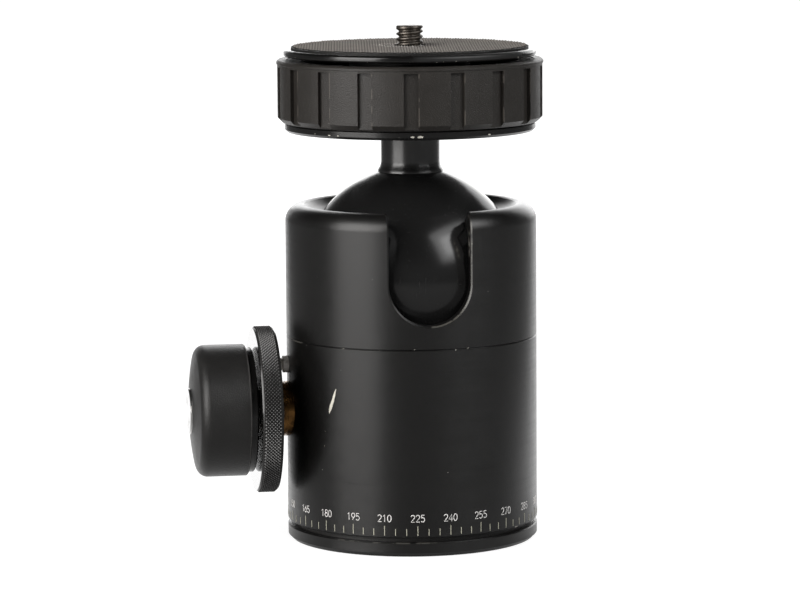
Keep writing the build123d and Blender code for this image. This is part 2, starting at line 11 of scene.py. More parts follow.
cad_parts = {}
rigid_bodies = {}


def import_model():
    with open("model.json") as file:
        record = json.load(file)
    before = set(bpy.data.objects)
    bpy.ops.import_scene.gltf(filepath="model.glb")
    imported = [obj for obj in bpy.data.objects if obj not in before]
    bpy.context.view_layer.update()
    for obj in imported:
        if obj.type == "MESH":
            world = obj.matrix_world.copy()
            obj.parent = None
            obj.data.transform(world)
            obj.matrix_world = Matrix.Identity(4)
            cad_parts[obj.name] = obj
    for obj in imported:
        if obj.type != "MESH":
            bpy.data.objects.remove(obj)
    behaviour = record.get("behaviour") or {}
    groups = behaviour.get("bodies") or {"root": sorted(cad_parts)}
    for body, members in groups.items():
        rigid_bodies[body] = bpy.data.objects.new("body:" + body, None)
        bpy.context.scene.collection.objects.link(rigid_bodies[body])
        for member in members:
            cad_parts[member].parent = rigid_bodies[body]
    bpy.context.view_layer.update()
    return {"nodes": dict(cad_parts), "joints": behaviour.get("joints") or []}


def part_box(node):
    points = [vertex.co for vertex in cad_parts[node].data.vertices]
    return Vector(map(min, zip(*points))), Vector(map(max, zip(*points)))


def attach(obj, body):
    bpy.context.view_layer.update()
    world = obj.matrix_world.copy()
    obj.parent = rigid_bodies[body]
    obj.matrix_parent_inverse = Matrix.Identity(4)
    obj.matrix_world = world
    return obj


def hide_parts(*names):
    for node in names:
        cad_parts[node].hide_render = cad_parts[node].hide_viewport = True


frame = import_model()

MM = 0.001
nodes = frame["nodes"]
joints = {joint["name"]: joint for joint in frame["joints"]}


def low(node):
    """The lower corner of a CAD node's box."""
    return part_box(node)[0]


def high(node):
    """The upper corner of a CAD node's box."""
    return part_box(node)[1]


# sizes that the frame gives, in metres
BODY_R = high("lower_housing").y
HOUSING_Z = low("lower_housing").z
SEAM_Z = high("lower_housing").z
BALL_R = high("ball").y
BALL_Z = joints["ball_tilt"]["pos_m"][2]
KNOB_Z = joints["friction_turn"]["pos_m"][2]
CAP_R = high("knob_cap").y
CAP_BACK = high("knob_cap").x
RING_R = high("friction_ring").y
RING_FRONT = low("friction_ring").x
GRIP_R = high("grip_ring").y
GRIP_TOP = high("grip_ring").z
PAD_R = high("platform_pad").y
PAD_TOP = high("platform_pad").z

# sizes of the patterns, and of the forms that wear follows, in metres
RING_W = 4.9 * MM             # width of the friction ring's knurled rim
RING_BEVEL = 0.36 * MM
KNURL_DEPTH = 0.34 * MM
KNURL_COLUMNS = 144
KNURL_ROWS = 9
GRIP_SLOTS = 18
GRIP_TURN = radians(-98.5)    # the middle of one slot, from +X
GRIP_SLOT_HALF = 1.7 * MM
PAD_DEPTH = 0.42 * MM         # height of the pad's points
PAD_PITCH = 1.3 * MM
PAD_ANGLE = radians(-8)       # how far the rows of points are turned
PAD_GAP = 0.9 * MM            # from the camera screw to the middles of the first points
SLOT_HALF = 9.65 * MM         # half the width of the drop slot
SLOT_Z = BALL_Z + 0.85 * MM   # the middle of its round end

# the same for the finishes, which count in millimetres
WALL_R = BODY_R / MM
DISC_R = 29.9                 # the lower disc's edge; the upper one's is 0.1 further out
PLATFORM_EDGE = 115.8         # a height on the lower rounding of the upper disc's edge
LOWER_DISC_EDGE = 98.5        # a height just over the lower disc's lower bevel
BASE_UPPER_EDGE = 3.3         # a height on the base ring's upper bevel
BASE_LOWER_EDGE = 0.9
SLOT_CHIPS_IN = 2.4           # how far in from the housing's outside the drop slot's side is chipped
SLOT_CHIPS_Z = 70             # and the height above which it is
MARKS_TOP = 8.0               # a height between the dial's marks and its numbers
BEYOND = 50                   # a distance past every edge


# ---------------------------------------------------------------- node graphs written as sums

class Wire:
    """One output of a node; sums written with it add Math nodes to its graph."""

    def __init__(self, graph, socket):
        self.graph, self.socket = graph, socket

    def math(self, operation, *values):
        return self.graph.node("ShaderNodeMath", {"operation": operation}, dict(enumerate(values)))

    def __add__(self, other):
        return self.math("ADD", self, other)

    def __sub__(self, other):
        return self.math("SUBTRACT", self, other)

    def __rsub__(self, other):
        return self.math("SUBTRACT", other, self)

    def __mul__(self, other):
        return self.math("MULTIPLY", self, other)

    def __truediv__(self, other):
        return self.math("DIVIDE", self, other)

    def __mod__(self, other):
        return self.math("FLOORED_MODULO", self, other)

    def __floordiv__(self, other):
        return self.math("FLOOR", self.math("DIVIDE", self, other))

    def __abs__(self):
        return self.math("ABSOLUTE", self)

    def __gt__(self, other):
        return self.math("GREATER_THAN", self, other)

    def __lt__(self, other):
        return self.math("LESS_THAN", self, other)

    __radd__, __rmul__ = __add__, __mul__

    def least(self, other):
        return self.math("MINIMUM", self, other)

    def most(self, other):
        return self.math("MAXIMUM", self, other)

    def root(self):
        return self.math("SQRT", self)

    def sine(self):
        return self.math("SINE", self)

    def cosine(self):
        return self.math("COSINE", self)

    def rises(self, start, end):
        """0 below start and 1 above end, smooth between; the other way round where end is less."""
        return self.graph.node("ShaderNodeMapRange", {"interpolation_type": "SMOOTHSTEP"},
                               {"Value": self, "From Min": start, "From Max": end})


def strongest(*masks):
    """The highest of several masks at each place."""
    found, *others = masks
    for mask in others:
        found = found.most(mask)
    return found


class Graph:
    """A node tree under construction, begun empty."""

    def __init__(self, tree):
        self.tree = tree
        tree.nodes.clear()

    def node(self, kind, settings=None, inputs=None, out=0):
        """Add a node: its settings first, then the values or wires of its inputs."""
        node = self.tree.nodes.new(kind)
        for name, value in (settings or {}).items():
            setattr(node, name, value)
        for name, value in (inputs or {}).items():
            if isinstance(value, Wire):
                self.tree.links.new(value.socket, node.inputs[name])
            else:
                node.inputs[name].default_value = value
        return Wire(self, node.outputs[out]) if len(node.outputs) else None

    def vector(self, x=0.0, y=0.0, z=0.0):
        return self.node("ShaderNodeCombineXYZ", inputs={0: x, 1: y, 2: z})

    def vector_math(self, operation, *values, out=0):
        return self.node("ShaderNodeVectorMath", {"operation": operation},
                         dict(enumerate(values)), out)

    def scaled(self, vector, factor):
        return self.node("ShaderNodeVectorMath", {"operation": "SCALE"}, {0: vector, 3: factor})

    def close(self, kind, wire):
        """Add the tree's output node and lead a wire into its first socket."""
        self.node(kind, inputs={0: wire})


class Finish(Graph):
    """A material whose patterns are laid out in millimetres of the part's own frame."""

    def __init__(self, name):
        self.material = bpy.data.materials.new(name)
        self.material.use_nodes = True
        super().__init__(self.material.node_tree)
        self.place = self.scaled(self.node("ShaderNodeTexCoord", out="Object"), 1 / MM)
        self.x, self.y, self.z = (
            self.node("ShaderNodeSeparateXYZ", inputs={0: self.place}, out=i) for i in range(3))
        self.r = (self.x * self.x + self.y * self.y).root()
        knob_z = self.z - KNOB_Z / MM
        self.knob_r = (self.y * self.y + knob_z * knob_z).root()

    def noise(self, size, detail=2.0, stretch=(1, 1, 1), shift=0.0, where=None):
        """Soft noise, 0 to 1, whose lumps are about size millimetres across."""
        place = self.vector_math("MULTIPLY", where or self.place, stretch)
        place = self.vector_math("ADD", place, (shift, shift, shift))
        return self.node("ShaderNodeTexNoise", inputs={
            "Vector": place, "Scale": 1 / size, "Detail": detail, "Roughness": 0.55})

    def specks(self, spacing, radius, share):
        """Small round specks: 1 on each, for a share of the cells of a random net."""
        inputs = {"Vector": self.place, "Scale": 1 / spacing}
        distance = self.node("ShaderNodeTexVoronoi", inputs=inputs)
        colour = self.node("ShaderNodeTexVoronoi", inputs=inputs, out="Color")
        lot = self.node("ShaderNodeSeparateXYZ", inputs={0: colour})
        return distance.rises(radius / spacing, 0.6 * radius / spacing) * (lot < share)

    def mix(self, mask, under, over):
        """The colour under, covered by the colour over where mask is 1."""
        # of this node's many sockets, 0, 6 and 7 and the output 2 are the ones for colours
        return self.node("ShaderNodeMix", {"data_type": "RGBA"}, {0: mask, 6: under, 7: over}, 2)

    def bump(self, height, depth, normal=None):
        """A bump of that depth in millimetres where height goes from 0 to 1."""
        inputs = {"Distance": depth * MM, "Height": height}
        if normal:
            inputs["Normal"] = normal
        return self.node("ShaderNodeBump", inputs=inputs)

    def principled(self, colour, roughness, metallic=0.0, normal=None, **levels):
        """Close the material; levels are values for the shader's other sockets."""
        inputs = {"Base Color": colour, "Roughness": roughness, "Metallic": metallic}
        if normal:
            inputs["Normal"] = normal
        inputs.update({name.replace("_", " "): value for name, value in levels.items()})
        self.close("ShaderNodeOutputMaterial", self.node("ShaderNodeBsdfPrincipled", inputs=inputs))
        return self.material


def grey(level, warmth=0.0):
    """A nearly neutral colour; warmth above 0 turns it towards brown."""
    return (level * (1 + warmth), level, level * (1 - warmth), 1.0)


# the colour of exposed metal where there is wear, also used to paint highlights on lit edges
BARE_METAL_AND_HIGHLIGHT = (0.82, 0.79, 0.70, 1.0)
LINT = grey(0.45, 0.04)
DUST = grey(0.4, 0.04)
MARK_INK = (0.42, 0.41, 0.33, 1.0)


# ---------------------------------------------------------------- where edges show wear, and where lit edges get a painted highlight

def line_at(value, place, half):
    """1 within half of place, fading over as much again."""
    return abs(value - place).rises(2 * half, half)


def worn(f, line, share, size=1.6, shift=0.0):
    """Keep only patches of a line, for wear and for painted highlights: share is how much of it shows."""
    patch = f.noise(size, 3, shift=shift)
    return line * patch.rises(0.72 - 0.4 * share, 0.78 - 0.4 * share)


def outermost(f, depth, radius=WALL_R):
    """1 within depth of the outside of a round piece, all in millimetres."""
    return f.r > radius - depth


def wall_point(angle, height, radius=WALL_R):
    """A place on an upright wall, from its angle about the stem axis and its height."""
    return Vector((radius * cos(radians(angle)), radius * sin(radians(angle)), height))


def facing(f, angle, spread):
    """1 on the side that looks towards an angle about the stem axis, fading at the spread."""
    across = f.x * cos(radians(angle)) + f.y * sin(radians(angle))
    return (across / f.r).rises(cos(radians(spread)), cos(radians(spread * 0.8)))


def gouge(f, start, end, width, ragged=0.5):
    """A scratch between two places, widest in the middle and torn at its sides."""
    run = end - start
    off = f.vector_math("SUBTRACT", f.place, start)
    along = f.vector_math("DOT_PRODUCT", off, run / run.length_squared, out=1)
    along = along.most(0.0).least(1.0)
    gap = f.vector_math("DISTANCE", off, f.scaled(run, along), out=1)
    half = (0.15 + along * (1 - along) * 3.4) * (width / 2)
    gap = gap + (f.noise(0.35, 3) - 0.5) * (width * ragged)
    return (gap / half).rises(1.0, 0.75)


def chips(f, places):
    """Small chips in an edge, each at an (angle, height, radius, half length) about the stem axis."""
    found = []
    for angle, height, radius, length in places:
        spread = length * 28 / radius
        start, end = (wall_point(angle + side * spread, height, radius) for side in (-1, 1))
        found.append(gouge(f, start, end, length * 0.4, 0.9))
    return strongest(*found)


def slot_outline(f):
    """Distance from the drop slot's side, in millimetres, positive outside it, on the front only."""
    below = (f.z - SLOT_Z / MM).least(0.0)
    return (f.x * f.x + below * below).root() - SLOT_HALF / MM + (f.y > 0) * BEYOND


def lower_housing_edges(f):
    """Seam and foot lines: patches of wear all round, and painted highlights where their bevels face the
    light; one long gouge in two strokes and three chips under it.
    """
    seam = line_at(f.z, SEAM_Z / MM - 0.1, 0.1) * outermost(f, 0.3)
    foot = line_at(f.z, HOUSING_Z / MM + 0.12, 0.14) * outermost(f, 0.6)
    return strongest(
        # painted highlights, patchy like wear: the seam's bevel on the left and the foot's bevel in front,
        # as pale metal lines
        worn(f, seam, 0.75) * facing(f, -168, 10) * 0.06,
        worn(f, foot, 0.5, 2.6, 3) * facing(f, -108, 26) * 0.08,
        worn(f, foot.most(seam), 0.1, 2.0, 8) * 0.6,
        gouge(f, wall_point(-135.3, 39.1), wall_point(-138.9, 33.4), 0.75),
        gouge(f, wall_point(-137.0, 36.6), wall_point(-139.3, 33.1), 0.95),
        chips(f, [(angle, height, WALL_R, 0.24) for angle, height in (
            (-142.0, 28.7), (-142.4, 25.2), (-143.9, 19.4))]))


def upper_housing_edges(f):
    """Patches of wear on the seam and the drop slot's right edge, painted highlights along the seam's
    bevel on the left and the slot's lit right edge, and the chips inside the slot.
    """
    wall = outermost(f, 0.8)
    outline = slot_outline(f)
    seam = line_at(f.z, SEAM_Z / MM + 0.1, 0.1) * wall
    slot = line_at(outline, 0.12, 0.12) * wall * (f.x > 0)
    inside = line_at(outline, 0.0, 0.2) * line_at(f.r, WALL_R - SLOT_CHIPS_IN, 0.22) * (f.x > 0)
    return strongest(
        # painted highlights, as thin pale lines: the seam's bevel on the left and the drop slot's right
        # edge, which faces the light
        worn(f, seam, 0.6, 2.0) * facing(f, -168, 10) * 0.08,
        worn(f, slot, 0.9, 1.2, 5) * 0.07,
        worn(f, inside, 0.5, 1.3, 5) * (f.z > SLOT_CHIPS_Z),
        worn(f, seam.most(slot), 0.12, 1.2, 11))


def base_edges(f):
    """The base ring's two edges: a painted highlight on the upper one in front, and patches of wear on the
    lower one.
    """
    wall = outermost(f, 0.4)
    upper = line_at(f.z, BASE_UPPER_EDGE, 0.1) * wall
    lower = line_at(f.z, BASE_LOWER_EDGE, 0.12) * wall
    # the upper edge's pale line in front is a painted highlight
    return strongest(worn(f, upper, 0.6, 3.0) * facing(f, -112, 26) * 0.05,
                     worn(f, lower, 0.16, 2.2, 4) * 0.6)


def disc_edges(height, places):
    """Chips in a gloss disc's edge, each an (angle, half length), and a little wear between them."""
    def edges(f):
        line = line_at(f.z, height, 0.12) * outermost(f, 1.0, DISC_R)
        chipped = chips(f, [(angle, height, DISC_R, length) for angle, length in places])
        return worn(f, line, 0.1, 0.9, height).most(chipped)
    return edges


def grip_edges(f):
    """A pale line down one side of each finger slot, the lit one, here and there: painted highlight as
    well as wear.
    """
    step = tau / GRIP_SLOTS
    turn = f.y.math("ARCTAN2", f.y, f.x) - GRIP_TURN
    across = ((turn + step / 2) % step - step / 2) * (GRIP_R / MM)
    line = line_at(across, GRIP_SLOT_HALF / MM + 0.1, 0.1) * outermost(f, 0.5, GRIP_R / MM)
    return worn(f, line * (f.z < GRIP_TOP / MM - 1.6), 0.6, 3.0, 2) * 0.6


def knurl_tips(f):
    """The outer ends of the friction ring's points, painted pale: their highlights as well as the polish
    of fingers.
    """
    return f.knob_r.rises(RING_R / MM - 0.2, RING_R / MM) * (f.noise(1.8, 2) * 0.9)


def ring_faces(f):
    """The two flat faces of the friction ring's rim."""
    middle, half = (RING_FRONT + RING_W / 2) / MM, RING_W / MM / 2
    return abs(f.x - middle).rises(half - 0.12, half - 0.04)


def cap_edge(f):
    """A painted highlight along the cap's outer edge on the side of the friction ring."""
    return line_at(f.x, CAP_BACK / MM - 0.12, 0.14) * (f.knob_r > CAP_R / MM - 0.5)


# ---------------------------------------------------------------- finishes

def anodised(name, level=0.004, gloss=0.33, edges=None, grain=0.016, specular=0.5,
             turned=0.6, polished=None, dulled=None, bare_and_lit_tone=BARE_METAL_AND_HIGHLIGHT):
    """Black anodised aluminium: fine grain, uneven sheen, lint, and exposed metal where edges say, which
    on lit edges is a painted highlight.

    turned is how strongly the lathe's fine grooves round the stem axis spread the light up and down,
    and dulled is the side, as an angle and a spread, that handling has made matt.
    """
    f = Finish(name)
    cloud = f.noise(14, 3)
    smear = f.noise(3.5, 4, shift=7)
    fine = f.noise(0.16, 2)
    tone = f.mix(cloud, grey(level * 0.8, 0.02), grey(level * 1.35, 0.05))
    tone = f.mix(f.specks(3.4, 0.12, 0.14) * 0.7, tone, LINT)
    lathe = f.noise(0.6, 3, (0.02, 0.02, 1.0), shift=2)
    rough = gloss + (smear - 0.5) * 0.12 + (fine - 0.5) * 0.08 + (lathe - 0.5) * 0.14
    levels = {}
    if polished:
        rough = rough - polished(f) * (gloss - 0.1)
        levels = {"Coat_Weight": polished(f), "Coat_Roughness": 0.06}
    if dulled:
        rough = rough + facing(f, *dulled) * 0.3
    metal = 0.0
    normal = f.bump(fine, grain)
    if edges:
        # pale metal where edges say: wear in chips, gouges and rubbed patches, and painted highlight along
        # lit bevels
        bare_and_lit = edges(f)
        tone = f.mix(bare_and_lit, tone, bare_and_lit_tone)
        rough = rough + bare_and_lit * 0.14
        metal = bare_and_lit * 0.8
        normal = f.bump(bare_and_lit, -0.03, normal)
    return f.principled(tone, rough, metal, normal, Specular_IOR_Level=specular,
                        Anisotropic=turned, Anisotropic_Rotation=0.25, **levels)


def ball_black():
    """Hard black coating, polished, with faint hairlines."""
    f = Finish("gloss_black_ball")
    hair = f.noise(0.3, 2, (1.0, 1.0, 0.04)).rises(0.68, 0.72)
    cross = f.noise(0.4, 2, (0.06, 1.0, 1.0), shift=9).rises(0.70, 0.74)
    haze = f.noise(7, 3)
    marks = hair.most(cross)
    tone = f.mix(marks * 0.12, grey(0.008), grey(0.06, 0.03))
    rough = 0.14 + haze * 0.1 + marks * 0.08
    return f.principled(tone, rough, 0.0, f.bump(marks, -0.002), Specular_IOR_Level=0.45)


def moulded(name, level, roughness, grain=0.03, dust=0.3, warmth=0.03, lump=0.22, edges=None):
    """Matt moulded plastic or rubber with a fine spark-eroded grain, handling marks, and a paler tone
    where edges say: painted edge highlights, with wear on the grip.
    """
    f = Finish(name)
    grainy = f.noise(lump, 3)
    rubbed = f.noise(7, 3, shift=4)
    tone = f.mix(rubbed, grey(level * 0.75, warmth), grey(level * 1.4, warmth))
    tone = f.mix(f.specks(0.7, 0.07, dust * 0.3) * 0.12, tone, DUST)
    tone = f.mix(f.specks(2.8, 0.11, dust * 0.4) * 0.7, tone, DUST)
    if edges:
        # paler where edges say: a painted highlight on lit edges
        tone = f.mix(edges(f), tone, grey(0.09, warmth))
    rough = roughness + (rubbed - 0.5) * 0.2 + (grainy - 0.5) * 0.1
    return f.principled(tone, rough, 0.0, f.bump(grainy, grain), Specular_IOR_Level=0.4)


def turned_metal(name, colour, dark, roughness=0.28, along="z", metal=1.0):
    """Bare metal from the lathe: fine rings across its axis and a little tarnish."""
    f = Finish(name)
    across = {"x": f.vector(x=f.x), "z": f.vector(z=f.z)}[along]
    rings = f.noise(0.12, 2, where=across)
    tarnish = f.noise(2.5, 4)
    tone = f.mix(tarnish.rises(0.42, 0.72), colour, dark)
    rough = roughness + (tarnish - 0.5) * 0.22
    return f.principled(tone, rough, metal, f.bump(rings, 0.012), Specular_IOR_Level=0.5)


def pad_rubber():
    """Moulded rubber points with painted shade between them, greyed by use, darker towards the screw and
    scuffed beside it.
    """
    f = Finish("pad_rubber")
    tips = f.z.rises((PAD_TOP - PAD_DEPTH) / MM + 0.1, PAD_TOP / MM - 0.12)
    used = f.noise(9, 3)
    scuff = f.noise(1.1, 4, shift=3).rises(0.5, 0.56) * f.r.rises(9.5, 7) * (f.x < 0)
    # darker towards the camera screw
    darker_round_screw = f.r.rises(9, 4) * 0.5
    tone = f.mix(used, grey(0.12, 0.08), grey(0.22, 0.08))
    tone = f.mix(darker_round_screw, tone, grey(0.04, 0.08))
    tone = f.mix(scuff * 0.6, tone, grey(0.7, 0.06))
    # nearly black between the points: painted shade in the hollows
    tone = f.mix(tips, grey(0.008, 0.05), tone)
    return f.principled(tone, 0.55 + (used - 0.5) * 0.2, 0.0, f.bump(f.noise(0.2, 2), 0.02),
                        Specular_IOR_Level=0.3)


def ink():
    """Pale paint in the dial's engraving, rubbed thin in places and yellower in the marks."""
    f = Finish("dial_ink")
    rubbed = f.noise(0.5, 4)
    tone = f.mix(rubbed.rises(0.45, 0.8), grey(0.85, 0.02), grey(0.35, 0.06))
    tone = f.mix(f.z < MARKS_TOP, tone, MARK_INK)
    return f.principled(tone, 0.5 + rubbed * 0.2, 0.0, f.bump(rubbed, 0.01))


# ---------------------------------------------------------------- studio

CAMERA_TURN = -8.83           # degrees from straight in front, towards the knob's side
CAMERA_DISTANCE = 900 * MM    # level distance to the stem axis
CAMERA_HEIGHT = 173.45 * MM
CAMERA_ROLL = -0.39
CAMERA_REACH = 50             # how far the camera sees, in metres
AIM = Vector((-2.70 * MM, 0, 56.82 * MM))   # aim point: sideways of the axis, and height
FOCAL_PIXELS = 3785.2
PICTURE_WIDTH = 800           # pixels
FILM_WIDTH = 36               # millimetres

PAPER = (0.05, 0.10)          # how far the lit paper reaches left and right of the head, in metres
PAPER_SPREAD = (0.34, 0.45)   # and how much further for each metre behind it
PAPER_FADE = 0.06
PAPER_START = 0.05            # it fades in between this far before the head and this far behind
PAPER_TURN = 22               # how far round, in degrees, the paper hangs behind the head
PAPER_TURN_FADE = 6
ROOM = 0.16                   # what a gloss sees of the room beside the paper, low down
CEILING = 0.02
ROOM_TOP = (0.5, 0.1)         # sines of the lifts where only the ceiling shows, and only the room
AMBIENT = 0.25                # the light that comes from all sides

FLOOR_TONE = 0.32
FLOOR_DROP = 0.2 * MM         # under the base, so that the two don't touch
FLOOR_R = 8                   # metres
FLOOR_SIDES = 96
FLOOR_GLOW = 0.85             # what the camera sees of it near the head; 1 far away
FLOOR_FAR = (0.25, 0.7)       # metres from the head where the glow starts to rise, and is 1

LIGHT_AIM = 60 * MM           # the height on the stem axis that every light looks at
LIGHTS = {      # turn from the camera and lift in degrees, distance, width, height, watts, warmth
    "key_left": (-50.5, 21, 0.95, 0.75, 0.80, 10.9, 0.02),
    "fill_right": (56, 34, 1.0, 0.80, 0.58, 4.5, 0.0),
    "fill_right_middle": (54, 33, 1.0, 0.44, 0.32, 1.9, 0.0),
    "back": (168, 16, 1.2, 1.1, 0.6, 3.9, 0.0),
}


def sideways(turn):
    """The level direction to the right, for somebody who looks at the head from a turn."""
    return Vector((cos(radians(turn)), sin(radians(turn)), 0))


def away(turn, lift=0.0):
    """The direction from the head towards something at a turn and a lift in degrees."""
    level = Vector((sin(radians(turn)), -cos(radians(turn)), 0))
    return level * cos(radians(lift)) + Vector((0, 0, sin(radians(lift))))


def set_camera():
    """A long lens, a little above the platform, that looks down at the body."""
    lens = bpy.data.cameras.new("camera")
    lens.sensor_width = FILM_WIDTH
    lens.lens = FOCAL_PIXELS / PICTURE_WIDTH * FILM_WIDTH
    lens.clip_end = CAMERA_REACH
    camera = bpy.data.objects.new("camera", lens)
    shift = sideways(CAMERA_TURN) * AIM.x
    place = away(CAMERA_TURN) * CAMERA_DISTANCE + shift + Vector((0, 0, CAMERA_HEIGHT))
    aim = shift + Vector((0, 0, AIM.z))
    turn = (aim - place).to_track_quat("-Z", "Y").to_matrix().to_4x4()
    camera.matrix_world = (Matrix.Translation(place) @ turn
                           @ Matrix.Rotation(radians(CAMERA_ROLL), 4, "Z"))
    bpy.context.scene.collection.objects.link(camera)
    bpy.context.scene.camera = camera


def softbox(name, turn, lift, distance, width, height, power, warmth):
    """A rectangular light that looks at the middle of the head."""
    light = bpy.data.lights.new(name, "AREA")
    light.shape, light.size, light.size_y = "RECTANGLE", width, height
    light.energy = power
    light.color = (1 + warmth, 1, 1 - warmth)
    lamp = bpy.data.objects.new(name, light)
    aim = Vector((0, 0, LIGHT_AIM))
    lamp.location = aim + away(turn, lift) * distance
    lamp.rotation_euler = (aim - lamp.location).to_track_quat("-Z", "Y").to_euler()
    bpy.context.scene.collection.objects.link(lamp)


def ray_is(graph, *kinds):
    """1 for rays of any of these kinds."""
    return strongest(*[graph.node("ShaderNodeLightPath", out=f"Is {kind} Ray") for kind in kinds])


def paper_world():
    """White wherever it is looked at; a gloss sees the lit paper and the dim room beside it."""
    world = bpy.data.worlds.new("studio_room")
    world.use_nodes = True
    bpy.context.scene.world = world
    g = Graph(world.node_tree)
    way = g.node("ShaderNodeTexCoord", out="Generated")
    back = g.vector_math("DOT_PRODUCT", way, -away(CAMERA_TURN), out=1)
    lit = back.rises(cos(radians(PAPER_TURN + PAPER_TURN_FADE)), cos(radians(PAPER_TURN)))
    up = g.vector_math("DOT_PRODUCT", way, (0, 0, 1), out=1)
    room = CEILING + up.rises(*ROOM_TOP) * (ROOM - CEILING)
    camera, gloss = ray_is(g, "Camera"), ray_is(g, "Glossy", "Transmission")
    level = (AMBIENT + gloss * (lit.most(room) - AMBIENT)).most(camera)
    g.close("ShaderNodeOutputWorld", g.node("ShaderNodeBackground", inputs={
        "Color": g.vector(level, level, level), "Strength": 1.0}))


def paper_floor():
    """A pale floor that reads white and keeps the head's soft shadow."""
    paper = bpy.data.materials.new("white_paper")
    paper.use_nodes = True
    g = Graph(paper.node_tree)
    place = g.node("ShaderNodeTexCoord", out="Object")
    aside = g.vector_math("DOT_PRODUCT", place, sideways(CAMERA_TURN), out=1)
    behind = g.vector_math("DOT_PRODUCT", place, -away(CAMERA_TURN), out=1)
    far = g.vector_math("LENGTH", place, out=1)
    left, right = aside * -1 - behind * PAPER_SPREAD[0], aside - behind * PAPER_SPREAD[1]
    lit = (left.rises(PAPER[0] + PAPER_FADE, PAPER[0]) * right.rises(PAPER[1] + PAPER_FADE, PAPER[1])
           * behind.rises(-PAPER_START, PAPER_START))
    camera, gloss = ray_is(g, "Camera"), ray_is(g, "Glossy", "Transmission")
    glow = (camera * (FLOOR_GLOW + far.rises(*FLOOR_FAR) * (1 - FLOOR_GLOW))).most(gloss * lit)
    g.close("ShaderNodeOutputMaterial", g.node("ShaderNodeBsdfPrincipled", inputs={
        "Base Color": grey(FLOOR_TONE), "Roughness": 0.9, "Specular IOR Level": 0.0,
        "Emission Color": g.vector(glow, glow, glow), "Emission Strength": 1.0}))
    bpy.ops.mesh.primitive_circle_add(vertices=FLOOR_SIDES, radius=FLOOR_R, fill_type="NGON",
                                      location=(0, 0, -FLOOR_DROP))
    floor = bpy.context.object
    floor.name = "floor"
    floor.data.materials.append(paper)


bpy.context.scene.view_settings.view_transform = "Standard"
set_camera()
paper_world()
paper_floor()
for light, (light_turn, *light_sizes) in LIGHTS.items():
    softbox(light, CAMERA_TURN + light_turn, *light_sizes)


# ---------------------------------------------------------------- patterns that repeat

SOCKETS = {int: "NodeSocketInt", float: "NodeSocketFloat", bpy.types.Material: "NodeSocketMaterial"}


class Pattern(Graph):
    """A Geometry Nodes tree that adds many small copies to a piece, with named inputs."""

    def __init__(self, name, **sizes):
        super().__init__(bpy.data.node_groups.new(name, "GeometryNodeTree"))
        face = self.tree.interface
        face.new_socket("Geometry", in_out="INPUT", socket_type="NodeSocketGeometry")
        face.new_socket("Geometry", in_out="OUTPUT", socket_type="NodeSocketGeometry")
        self.sizes = sizes
        self.ids = {}
        for label, value in sizes.items():
            socket = face.new_socket(label, in_out="INPUT", socket_type=SOCKETS[type(value)])
            self.ids[label] = socket.identifier
        self.index = self.node("GeometryNodeInputIndex")

    def given(self, label):
        """The wire of one of the named inputs."""
        return self.node("NodeGroupInput", out=label)

    def points(self, count):
        return self.node("GeometryNodePoints", inputs={"Count": count})

    def finish(self, points, place, copy, turn, size, keep=None):
        """Put the copies on the points, join them to the piece and give all one material."""
        points = self.node("GeometryNodeSetPosition", inputs={"Geometry": points, "Position": place})
        if keep:
            points = self.node("GeometryNodeDeleteGeometry", {"domain": "POINT"},
                               {"Geometry": points, "Selection": 1 - keep})
        copies = self.node("GeometryNodeInstanceOnPoints", inputs={
            "Points": points, "Instance": copy, "Rotation": turn, "Scale": size})
        copies = self.node("GeometryNodeRealizeInstances", inputs={"Geometry": copies})
        joined = self.node("GeometryNodeJoinGeometry", inputs={0: self.given("Geometry")})
        self.tree.links.new(copies.socket, joined.socket.node.inputs[0])   # that socket takes both
        self.close("NodeGroupOutput", self.node("GeometryNodeSetMaterial", inputs={
            "Geometry": joined, "Material": self.given("Material")}))
        return self

    def grow_on(self, piece):
        """Run the pattern on a piece and keep the result as its plain mesh."""
        modifier = piece.modifiers.new("pattern", "NODES")
        modifier.node_group = self.tree
        for label, value in self.sizes.items():
            modifier[self.ids[label]] = value
        mesh = plain_mesh(piece)
        piece.modifiers.remove(modifier)
        piece.data = mesh


def plain_mesh(piece):
    """What an object looks like with its modifiers or curve width, as a mesh of its own."""
    bpy.context.view_layer.update()
    depsgraph = bpy.context.evaluated_depsgraph_get()
    return bpy.data.meshes.new_from_object(piece.evaluated_get(depsgraph))


def stud(pattern):
    """A four-sided point, one across each half diagonal and one high, with no bottom."""
    return pattern.node("GeometryNodeMeshCone", {"fill_type": "NONE"}, {
        "Vertices": 4, "Radius Top": 0.0, "Radius Bottom": 1.0, "Depth": 1.0})


def diamond_knurl(material, radius, start, pitch, columns, rows, depth):
    """Diamond points round the knob's axis, each row half a column from the last."""
    p = Pattern("diamond_knurl", Radius=radius, Start=start, Pitch=pitch, Axis_height=KNOB_Z,
                Columns=columns, Rows=rows, Depth=depth, Material=material)
    column = p.index % p.given("Columns")
    row = p.index // p.given("Columns")
    turn = (column * 2 + row % 2) * pi / p.given("Columns")
    place = p.vector(p.given("Start") + row * p.given("Pitch") * 0.5,
                     turn.sine() * p.given("Radius") * -1,
                     turn.cosine() * p.given("Radius") + p.given("Axis_height"))
    size = p.vector(p.given("Pitch") * 0.5, p.given("Radius") * pi / p.given("Columns"), p.given("Depth"))
    return p.finish(p.points(p.given("Columns") * p.given("Rows")), place, stud(p), p.vector(turn), size)


